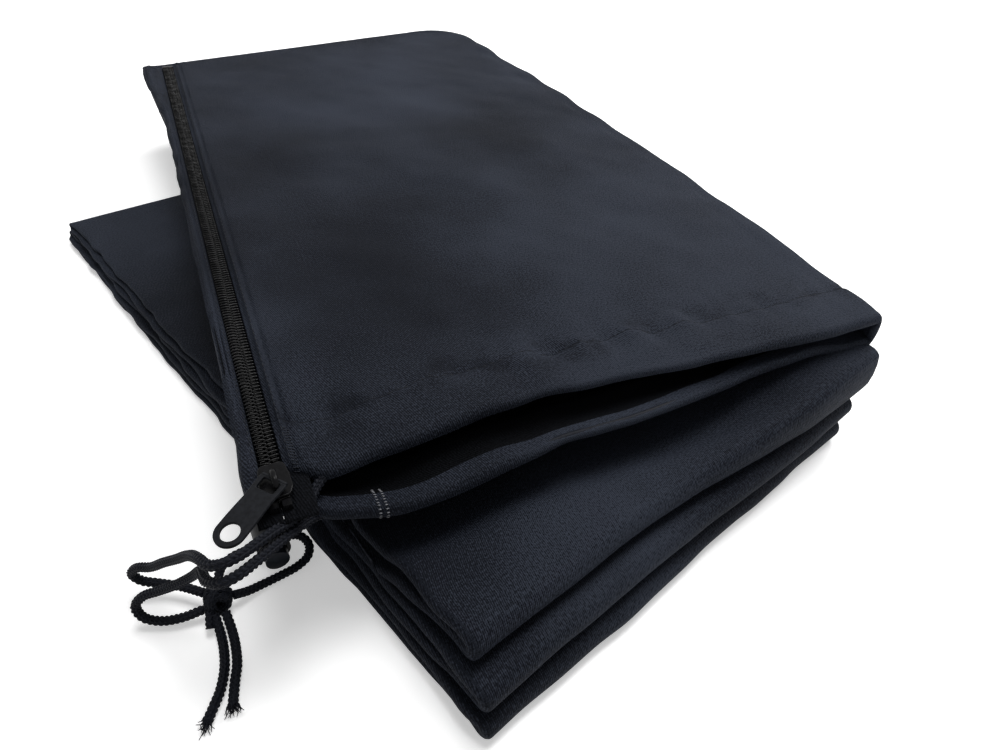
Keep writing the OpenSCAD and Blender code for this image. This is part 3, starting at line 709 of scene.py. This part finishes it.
def cord_in_hem():
    """The cord inside both casings, against the rolled edge of the cloth."""
    line = (LEAF[9, 6:178] + LEAF[17, 6:178]) / 2
    line[:, 1] += 1.4
    points, faces = tube(even(line, 3.0), CORD_D / 2 - 0.1, sides=12)
    inner = add_mesh("drawcord_inside_hem", points, faces, CORD, "bag")
    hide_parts("drawcord_in_hem")


cord_in_hem()


# ---------------------------------------------------------------- folded leaves
FOLD_TURN = math.radians(18)
FOLD_CORNER = np.array([38.0, -62.0])
FOLD_W, FOLD_L = 206.0, 355.0
FOLD_H, FOLD_H_REAR = 11.0, 4.3
SETBACK = (0, 2, 11)
NARROW = (0, 4, 8)
RIGHT_MORE = (-7, -3, 5)         # how much further each fold reaches at its right-hand front corner


def in_fold(u, v):
    c, s = math.cos(FOLD_TURN), math.sin(FOLD_TURN)
    return FOLD_CORNER + np.array([u * c - v * s, u * s + v * c])


def leaf_stations():
    """Left and right edges, thickness and width of the sleeve at each step of its folds."""
    rows = []

    def put(left, right, z, thick):
        rows.append((np.r_[left, z], np.r_[right, z], thick))

    rear_left = np.array([LEFT_X + 1, ZIP_REAR_Y - 1])
    rear_right = CORNER + CORNER_R * np.array([math.cos(math.radians(102.5)), math.sin(math.radians(102.5))])
    for k in (2, 1, 0):
        u0, u1 = NARROW[k] / 2, FOLD_W - NARROW[k] / 2 + RIGHT_MORE[k]
        nose_v = SETBACK[k] + FOLD_H / 4 + 2.6
        z_up, z_low = k * FOLD_H + 8.25, k * FOLD_H + 2.75
        z_up_rear, z_low_rear = k * FOLD_H_REAR + 3.25, k * FOLD_H_REAR + 1.1
        if k == 2:
            a, b, z_from, t_from = rear_left, rear_right, 41.3, 2.4
        else:
            a, b, z_from, t_from = in_fold(u0, FOLD_L - 2), in_fold(u1, FOLD_L - 2), z_up_rear, 1.5
        left_line = [a, in_fold(u0, nose_v)]
        if k == 2:
            left_line = even(spline([a, (-6.5, 300), (-6.5, 190), (-5.5, 120), in_fold(1.5, 150), in_fold(u0, 90),
                                     in_fold(u0, nose_v)], 2.0), 4.0)
        left_line = even(np.array(left_line), length_of(left_line) / 117)[:118]
        for i, t in enumerate(np.linspace(0, 1, 118)):
            if i or k == 2:
                put(left_line[i], b + (in_fold(u1, nose_v) - b) * t,
                    z_from + (z_up - z_from) * t, t_from + (4.9 - t_from) * t)
        r, zc = (z_up - z_low) / 2, (z_up + z_low) / 2
        for phi in np.linspace(0, math.pi, 11)[1:-1]:
            v = nose_v - r * math.sin(phi)
            put(in_fold(u0, v), in_fold(u1, v), zc + r * math.cos(phi), 4.9)
        for t in np.linspace(0, 1, 110):
            v = nose_v + (FOLD_L - 2 - nose_v) * t
            put(in_fold(u0, v), in_fold(u1, v), z_low + (z_low_rear - z_low) * t, 4.9 + (1.5 - 4.9) * t)
        if k:
            z_next = (k - 1) * FOLD_H_REAR + 3.25
            r, zc = (z_low_rear - z_next) / 2, (z_low_rear + z_next) / 2
            for phi in np.linspace(0, math.pi, 6)[1:-1]:
                v = FOLD_L - 2 + r * math.sin(phi) * 1.5
                put(in_fold(u0, v), in_fold(u1, v), zc + r * math.cos(phi), 1.5)
    return rows


def folded_sleeve():
    rows = leaf_stations()
    left = np.array([r[0] for r in rows])
    right = np.array([r[1] for r in rows])
    thick = np.array([r[2] for r in rows])
    gone = np.r_[0, np.cumsum(np.linalg.norm(np.diff((left + right) / 2, axis=0), axis=1))]
    # the edges wander, each leaf by itself
    across = unit(right - left)
    zero = gone * 0
    wave = 1.6 * noise2(gone / 26, zero + 0.5, 41) + 0.7 * noise2(gone / 9, zero, 42)
    left = left + across * wave[:, None]
    wave = 1.8 * noise2(gone / 24, zero + 2.5, 43) + 1.3 * noise2(gone / 7, zero, 44)
    right = right + across * wave[:, None]
    mid = (left + right) / 2
    along = unit(np.gradient(mid, axis=0))
    across = unit(right - left)
    normal = unit(np.cross(along, across))
    width = np.linalg.norm(right - left, axis=1)
    half = 66
    q = np.linspace(0, 1, half)
    sections = []
    for i in range(len(rows)):
        h, w = thick[i] / 2, width[i]
        r = min(h * 0.8, 2.0)
        ang = np.linspace(math.pi / 2, -math.pi / 2, 9)[1:-1]
        a = np.stack([r + (w - 2 * r) * q, np.full(half, h)], axis=1)
        b = np.stack([w - r + r * np.cos(ang), h * np.sin(ang)], axis=1)
        c = np.stack([r + (w - 2 * r) * q[::-1], np.full(half, -h)], axis=1)
        d = np.stack([r - r * np.cos(ang), -h * np.sin(ang)], axis=1)
        s = np.vstack([a, b, c, d])
        sections.append(left[i] + across[i] * s[:, :1] + normal[i] * s[:, 1:])
    grid = np.array(sections)
    X, Y, Z = grid[..., 0].copy(), grid[..., 1].copy(), grid[..., 2].copy()
    back = np.array([-math.sin(FOLD_TURN), math.cos(FOLD_TURN)])
    side = np.array([math.cos(FOLD_TURN), math.sin(FOLD_TURN)])
    V = (X - FOLD_CORNER[0]) * back[0] + (Y - FOLD_CORNER[1]) * back[1]
    U = (X - FOLD_CORNER[0]) * side[0] + (Y - FOLD_CORNER[1]) * side[1]
    # each front edge bows and ripples a little by itself
    leaf = np.clip(np.round((Z - 5.5) / FOLD_H), 0, 2)
    ripple = 1.3 * noise2(U / 55, leaf * 3.7, 51) + 0.5 * noise2(U / 15, leaf * 2.3, 52)
    near = np.exp(-np.maximum(V, 0) / 26)
    grid[..., :2] += (ripple * near)[..., None] * back
    # the upper folds come forward to the lowest one's front edge at their right-hand end
    set_on = np.array(SETBACK)[leaf.astype(int)] * smooth((U - 60) / 130) * np.exp(-np.maximum(V, 0) / 60)
    grid[..., :2] -= (1.15 * set_on)[..., None] * back
    # all the leaves rise and fall together, less near the table
    wave = 0.9 * noise2(U / 62, V / 80, 53) + 0.4 * noise2(U / 27 + V / 60, V / 33, 54)
    high = smooth(Z / 26)
    # the upper leaf climbs to the corner of the mouth at its right-hand end
    climb = smooth((U - 95) / 105) * np.clip((Z - 25) / 5.5, 0, 1) * smooth((160 - V) / 150)
    grid[..., 2] += 10.2 * climb
    # it dips under the lip, in front of the mouth
    behind = Y - hem_front(X, False)
    hollow = smooth((behind + 10) / 11) * smooth((130 - behind) / 60) \
        * smooth((208 - X) / 60) * smooth((X - 8) / 20)
    grid[..., 2] -= 3.8 * hollow * (leaf > 1.5)
    grid[..., 2] += wave * high + 0.12 * noise2(U / 9, V / 9, 55) * high
    first = np.arange(len(rows))[:, None] < 118
    drape = 0.4 * noise2(U / 24 + V / 45, V / 30, 56) + 0.05 * noise2(U / 5, V / 5, 57)
    grid[..., 2] += drape * first
    grid[..., 2] = np.maximum(grid[..., 2], 0.15)
    return grid, gone, width


def dress_folds():
    grid, gone, width = folded_sleeve()
    rows, cols = grid.shape[:2]
    faces = [tuple(f[::-1]) for f in grid_faces(rows, cols, wrap=True)]
    half, turn = 66, 7
    pairs = [(i, 2 * half + turn - 1 - i) for i in range(half)]
    for start, flip in ((0, True), ((rows - 1) * cols, False)):
        ring = [tuple(range(start + half - 1, start + half + turn + 1)),
                tuple([start + 2 * half + turn - 1] + list(range(start + 2 * half + turn, start + cols)) + [start])]
        for (a, b), (c, d) in zip(pairs, pairs[1:]):
            ring.append((start + a, start + c, start + d, start + b))
        faces += [f[::-1] if flip else f for f in ring]
    steps = np.linalg.norm(np.diff(np.vstack([grid[60], grid[60][:1]]), axis=0), axis=1)
    cut_u = np.r_[0, np.cumsum(steps)][:cols]
    uv = (np.stack(np.broadcast_arrays(cut_u[None, :], gone[:, None]), axis=-1) / 1000).reshape(-1, 2)
    sleeve = add_mesh("folded_leaves_cloth", grid.reshape(-1, 3), faces, CLOTH, "bag", uv)
    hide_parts("second_leaf", "upper_fold", "middle_fold", "bottom_fold")
    return sleeve, float(np.mean(width)) / 1000, gone[-1] / 1000


fold_cloth, sleeve_w, sleeve_l = dress_folds()


# ---------------------------------------------------------------- seams and stitches
def surface_path(grid, row=None, col=None, first=0, last=None, out=0.0):
    """A line on a cloth grid along one of its rows or columns, raised by out."""
    up = -normals_of(grid)
    line = (grid[row, first:last] + up[row, first:last] * out) if row is not None \
        else (grid[first:last, col] + up[first:last, col] * out)
    return line


def stitches(line, stitch, gap, radius):
    """A row of thread stitches, each a short bead that dips into the cloth at its ends."""
    fine = even(line, 0.5)
    n = len(fine)
    parts = []
    step = int((stitch + gap) / 0.5)
    size = int(stitch / 0.5)
    for start in range(0, n - size - 1, step):
        bit = fine[start:start + size + 1].copy()
        arch = np.sin(np.linspace(0, np.pi, len(bit)))
        bit[:, 2] += (arch - 0.6) * radius
        parts.append(tube(bit, radius * (0.55 + 0.45 * arch), sides=6))
    return merged(parts)


def dress_seams():
    cols = LEAF.shape[1]
    upper = surface_path(LEAF, row=STITCH_ROW, first=6, last=92, out=0.02)
    lower = surface_path(LEAF, row=STITCH_ROW, first=106, last=180, out=0.02)
    zip_right = surface_path(LEAF, col=4, first=STITCH_ROW - 14, last=TURN_ROW, out=0.02)
    zip_left = surface_path(LEAF, col=cols - 3, first=STITCH_ROW - 4, last=TURN_ROW, out=0.02)
    points, faces = merged([stitches(p, 2.4, 0.8, 0.16) for p in (upper, lower, zip_right, zip_left)])
    add_mesh("seam_stitches", points, faces, THREAD, "bag")
    # dense bars at the ends of the casing, across the rolled edge
    up = -normals_of(LEAF)

    def bar(columns, rows, size, material, name):
        parts = []
        for c in columns:
            k, t = int(c), c - int(c)
            line = LEAF[rows[0]:rows[1], k] * (1 - t) + LEAF[rows[0]:rows[1], k + 1] * t \
                + up[rows[0]:rows[1], k] * 0.12
            aim = unit(LEAF[rows[0], k + 1] - LEAF[rows[0], k])
            for p in even(line, 1.2):
                bit = np.array([p - aim * size, p - aim * size * 0.4, p + aim * size * 0.4, p + aim * size])
                parts.append(tube(bit, [0.1, 0.2, 0.2, 0.1], sides=6))
        points, faces = merged(parts)
        piece = add_mesh(name, points, faces, material, "bag")
        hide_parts("bartacks")

    bar((171.9, 172.6), (5, 24), 0.42, BAR_THREAD, "casing_bartack_lip")
    bar((5.2, 6.6), (10, 30), 0.5, THREAD, "casing_bartack_top")


dress_seams()


def dress_end_seam():
    """A turned double edge with its stitching closes the lowest leaf at the rear."""
    n = 140
    u = np.linspace(3, FOLD_W - 3, n)
    line = np.array([np.r_[in_fold(a, FOLD_L - 1), 1.1] for a in u])
    back = np.array([-math.sin(FOLD_TURN), math.cos(FOLD_TURN)])
    profile = [(0, 0.8), (1.6, 0.85), (2.6, 0.5), (2.9, 0), (2.6, -0.5), (1.6, -0.8), (0, -0.8)]
    wave = 0.5 * noise2(u / 12, u * 0 + 0.7, 61)
    grid = np.array([[p + np.r_[back * (a + w), z + 0.15 * w] for a, z in profile] for p, w in zip(line, wave)])
    grid[..., 2] = np.maximum(grid[..., 2], 0.2)
    points = grid.reshape(-1, 3)
    faces = [tuple(f) for f in grid_faces(n, len(profile), wrap=True)]
    last = (n - 1) * len(profile)
    faces += [tuple(range(len(profile) - 1, -1, -1)), tuple(range(last, last + len(profile)))]
    v = np.arange(len(profile)) * 1.2
    uv = np.stack(np.broadcast_arrays(u[:, None], v[None, :]), axis=-1).reshape(-1, 2) / 1000
    seam = add_mesh("closed_end_seam", points, faces, SEAM, "bag", uv)
    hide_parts("end_seam")
    row = grid[:, 1] + [0, 0, 0.1]
    points, faces = stitches(row, 2.4, 0.8, 0.15)
    add_mesh("end_seam_stitches", points, faces, THREAD, "bag")


dress_end_seam()


# ---------------------------------------------------------------- zip
TAPE_TOP = 54.2
COIL_H = 2.2
COIL_PITCH = 1.7
COIL_MID_X, COIL_HALF_W = 1.3, 1.62
WIRE_R = 0.33


def make_coil(name, side, node):
    """One side of the zip: a wire wound round its cord, its heads between the other side's."""
    turns = (ZIP_END_Y - ZIP_FRONT_Y) / COIL_PITCH
    phase = 0 if side > 0 else math.pi
    t = np.linspace(0, 2 * math.pi * turns, int(turns * 14)) + phase
    y = ZIP_FRONT_Y + (t - phase) / (2 * math.pi) * COIL_PITCH
    half_h = COIL_H / 2 - WIRE_R
    c, s = np.cos(t), np.sin(t)
    x = side * (COIL_MID_X - COIL_HALF_W * np.sign(c) * np.abs(c) ** 0.75)
    z = TAPE_TOP + COIL_H / 2 + half_h * np.sign(s) * np.abs(s) ** 0.7
    points, faces = tube(np.stack([x, y, z], axis=1), WIRE_R, sides=6)
    coil = add_mesh(name, points, faces, COIL, "bag")
    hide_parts(node)


def make_tape(name, side, reach, node):
    """Woven tape: fine ribs along it, and a shallow groove beside the coil's foot."""
    y = np.linspace(-7.5, 384, 520)
    x = np.linspace(0.9, reach, 22)
    X, Y = np.meshgrid(x, y)
    X = X - 0.75 * smooth((2 - Y) / 4) * smooth((2.4 - X) / 1.5)
    Z = TAPE_TOP + 0.05 * np.cos(X * 2 * math.pi / 0.9) - 0.25 * bump(X, 3.3, 0.5)
    Z += 0.1 * noise2(X / 3, Y / 9, 71) * smooth((X - 3) / 4) - 0.9 * smooth((-4 - Y) / 4)
    grid = np.stack([X * side, Y, Z], axis=-1)
    if side < 0:
        grid = grid[:, ::-1]
    uv = np.stack([X, Y], axis=-1) / 1000
    points, faces, uv = shell(grid, 0.5, uv)
    tape = add_mesh(name, points, faces, TAPE, "bag", uv)
    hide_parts(node)
    return tape


make_coil("zip_coil_wire_left", -1, "zip_coil_left")
make_coil("zip_coil_wire_right", 1, "zip_coil_right")
tape_left = make_tape("zip_tape_cloth_left", -1, 6.9, "zip_tape_left")
tape_right = make_tape("zip_tape_cloth_right", 1, 9.4, "zip_tape_right")


def plate(name, outlines, thickness, bevel, material, body, matrix):
    """A flat part with rounded edges, cut from closed outlines; inner outlines are holes."""
    curve = bpy.data.curves.new(name, "CURVE")
    curve.dimensions = "2D"
    curve.fill_mode = "BOTH"
    for outline in outlines:
        line = curve.splines.new("POLY")
        line.points.add(len(outline) - 1)
        for point, (x, y) in zip(line.points, outline):
            point.co = (x / 1000, y / 1000, 0, 1)
        line.use_cyclic_u = True
    curve.extrude = (thickness / 2 - bevel) / 1000
    curve.bevel_depth = bevel / 1000
    curve.bevel_resolution = 2
    curve.offset = -bevel / 1000
    holder = bpy.data.objects.new(name + "_outline", curve)
    bpy.context.collection.objects.link(holder)
    bpy.context.view_layer.update()
    mesh = bpy.data.meshes.new_from_object(holder.evaluated_get(bpy.context.evaluated_depsgraph_get()))
    bpy.data.objects.remove(holder)
    bpy.data.curves.remove(curve)
    mesh.transform(matrix)
    mesh.materials.clear()
    mesh.materials.append(material)
    mesh.name = name
    obj = bpy.data.objects.new(name, mesh)
    bpy.context.collection.objects.link(obj)
    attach(obj, body)
    return obj


def local(place, turn_z=0.0, turn_y=0.0):
    m = Matrix.Translation(Vector(at(place)))
    return m @ Matrix.Rotation(turn_z, 4, "Z") @ Matrix.Rotation(turn_y, 4, "Y")


def rounded(points, r, n=6):
    """A closed outline with its corners rounded to radius r."""
    p = np.asarray(points, dtype=float)
    out = []
    for i in range(len(p)):
        a, b, c = p[i - 1], p[i], p[(i + 1) % len(p)]
        one, two = unit(a - b), unit(c - b)
        k = min(r, 0.49 * min(np.linalg.norm(a - b), np.linalg.norm(c - b)))
        for t in np.linspace(0, 1, n):
            out.append((1 - t) ** 2 * (b + one * k) + 2 * t * (1 - t) * b + t * t * (b + two * k))
    return np.array(out)


BAR = np.array([0, 3.2, 59.6])


def make_slider():
    w, y0, y1 = 4.5, -1.5, 11.5
    wing = rounded([(-w + 1.3, y0), (w - 1.3, y0), (w, y0 + 2.8), (w - 0.15, y0 + 7), (w - 0.7, y1 - 1.2), (w - 1.6, y1),
                    (-w + 1.6, y1), (-w + 0.7, y1 - 1.2), (-w + 0.15, y0 + 7), (-w, y0 + 2.8)], 1.1)
    low = plate("slider_lower_wing", [wing], 0.9, 0.2, ENAMEL, "slider", local([0, 0, 52.65]))
    top = plate("slider_upper_wing", [wing], 0.95, 0.28, ENAMEL, "slider", local([0, 0, 57.15]))
    # the bridge: an arch of flat wire over the tab's bar
    arch = spline([[0, 0.0, 57.2], [0, 0.1, 59.4], [0, 0.9, 61.2], [0, 2.6, 61.75], [0, 4.8, 61.4],
                   [0, 6.1, 60.0], [0, 6.55, 57.2]], 0.3)
    points, faces = tube(arch, 0.5, sides=12)
    points[:, 0] *= 1.7
    bridge = add_mesh("slider_bridge", points, faces, ENAMEL, "slider")
    cheeks = []
    for side in (-1, 1):
        rail = np.array([[side * (w - 0.55), y, 56.1] for y in np.linspace(1.2, 8.7, 16)])
        cheeks.append(tube(rail, np.r_[0.3, 0.55, np.full(12, 0.62), 0.55, 0.3], sides=10))
    points, faces = merged(cheeks)
    flanges = add_mesh("slider_flanges", points, faces, ENAMEL, "slider")
    post = np.array([[0, y, z] for y, z in ((1.4, 52.9), (1.4, 57.0))])
    points, faces = tube(post, 0.3, sides=10)
    points[:, 1] = 1.4 + (points[:, 1] - 1.4) * 4
    column = add_mesh("slider_post", points, faces, ENAMEL, "slider")
    for piece in (low, top, bridge, flanges, column):
        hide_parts("slider_body")


def make_tab():
    """Flat pull tab: an open eye round its bar, a waist and a round end with a window."""
    half, end_r, length = 4.4, 4.4, 22.5
    cx = length - end_r
    arc = [(cx + end_r * math.cos(a), end_r * math.sin(a)) for a in np.linspace(-math.pi / 2, math.pi / 2, 24)]
    outer = [(0.2, -half + 0.15), (1.5, -half), (7.0, -half + 0.35), (11.5, -half + 0.1), (14.5, -half)] + arc \
        + [(14.5, half), (11.5, half - 0.1), (7.0, half - 0.35), (1.5, half), (0.2, half - 0.15)]
    eye = rounded([(0.75, -2.9), (0.75, 2.9), (4.3, 2.9), (4.3, -2.9)], 0.7)
    window = [(cx + 2.7 * math.cos(a), 2.7 * math.sin(a)) for a in np.linspace(0, -2 * math.pi, 28, endpoint=False)]
    yaw, pitch = math.radians(270 - 50), math.radians(10)
    place = local(BAR, yaw, pitch)
    tab = plate("pull_tab_plate", [outer, eye, window], 1.1, 0.26, TAB_ENAMEL, "tab", place)
    bar = np.array([[0, y, 0] for y in np.linspace(-4.1, 4.1, 12)]) / 1000
    bar = np.array([place @ Vector(p) for p in bar]) * 1000 - ORIGIN
    points, faces = tube(bar, 0.62, sides=12)
    rod = add_mesh("pull_tab_bar", points, faces, TAB_ENAMEL, "tab")
    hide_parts("pull_tab")
    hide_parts("pull_tab")


make_slider()
make_tab()


def repaint(node, material):
    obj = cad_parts[node]
    for k in range(max(1, len(obj.material_slots))):
        if obj.material_slots:
            obj.material_slots[k].material = material
        else:
            obj.data.materials.append(material)


for node_name, paint in (("zip_top_stops", ENAMEL), ("zip_bottom_stop", ENAMEL),
                         ("lock_barrel", LOCK), ("lock_button", BUTTON), ("lock_spring", STEEL)):
    repaint(node_name, paint)


# ---------------------------------------------------------------- stage and light
def stage():
    half = 3.0
    mesh = bpy.data.meshes.new("floor")
    mesh.from_pydata([(-half, -half, 0), (half, -half, 0), (half, half, 0), (-half, half, 0)], [], [(0, 1, 2, 3)])
    floor = bpy.data.objects.new("floor", mesh)
    bpy.context.collection.objects.link(floor)
    m = Nodes("pale_floor")
    speck = m.add("ShaderNodeTexNoise", in_Scale=30.0)
    coords = m.add("ShaderNodeTexCoord")
    m.link(coords.outputs["Object"], speck.inputs["Vector"])
    m.link(m.ramp(speck.outputs[0], [(0.0, (0.93, 0.93, 0.93)), (1.0, (0.95, 0.95, 0.95))]),
           m.shader.inputs["Base Color"])
    m.shader.inputs["Roughness"].default_value = 0.9
    m.shader.inputs["Specular IOR Level"].default_value = 0.1
    # white paper to the eye, while the bag still gets only the lamps' light from it
    rays = m.add("ShaderNodeLightPath")
    seen = m.math("MAXIMUM", rays.outputs["Is Camera Ray"], rays.outputs["Is Glossy Ray"])
    seen = m.math("MAXIMUM", seen, rays.outputs["Is Transmission Ray"])
    m.shader.inputs["Emission Color"].default_value = (1, 1, 1, 1)
    m.link(m.math("MULTIPLY", seen, 0.42), m.shader.inputs["Emission Strength"])
    floor.data.materials.append(m.material)


ROOM_LIGHT = 0.22
# name, place and aim in metres, size, watts
LAMPS = [("key_from_the_right", (0.95, 0.30, 0.95), (0.03, -0.05, 0.03), (0.6, 0.5), 13.5),
         ("overhead", (0.12, 0.02, 1.35), (0.03, -0.08, 0.03), (0.6, 0.6), 11)]


def lamp(name, place, aim, size, power):
    data = bpy.data.lights.new(name, "AREA")
    data.shape = "RECTANGLE"
    data.size, data.size_y = size
    data.energy = power
    obj = bpy.data.objects.new(name, data)
    bpy.context.collection.objects.link(obj)
    obj.location = place
    obj.rotation_euler = (Vector(aim) - Vector(place)).to_track_quat("-Z", "Y").to_euler()


def light():
    scene = bpy.context.scene
    scene.view_settings.view_transform = "Standard"
    world = bpy.data.worlds.new("studio")
    scene.world = world
    world.use_nodes = True
    tree = world.node_tree
    back = tree.nodes["Background"]
    path = tree.nodes.new("ShaderNodeLightPath")
    seen = path.outputs["Is Camera Ray"]
    for ray in ("Is Glossy Ray", "Is Transmission Ray"):
        most = tree.nodes.new("ShaderNodeMath")
        most.operation = "MAXIMUM"
        tree.links.new(seen, most.inputs[0])
        tree.links.new(path.outputs[ray], most.inputs[1])
        seen = most.outputs[0]
    mix = tree.nodes.new("ShaderNodeMix")
    mix.data_type = "FLOAT"
    mix.inputs[2].default_value = ROOM_LIGHT
    mix.inputs[3].default_value = 1.0
    tree.links.new(seen, mix.inputs[0])
    tree.links.new(mix.outputs[0], back.inputs["Strength"])
    back.inputs["Color"].default_value = (1, 1, 1, 1)
    for values in LAMPS:
        lamp(*values)


stage()
light()

bpy.context.view_layer.update()
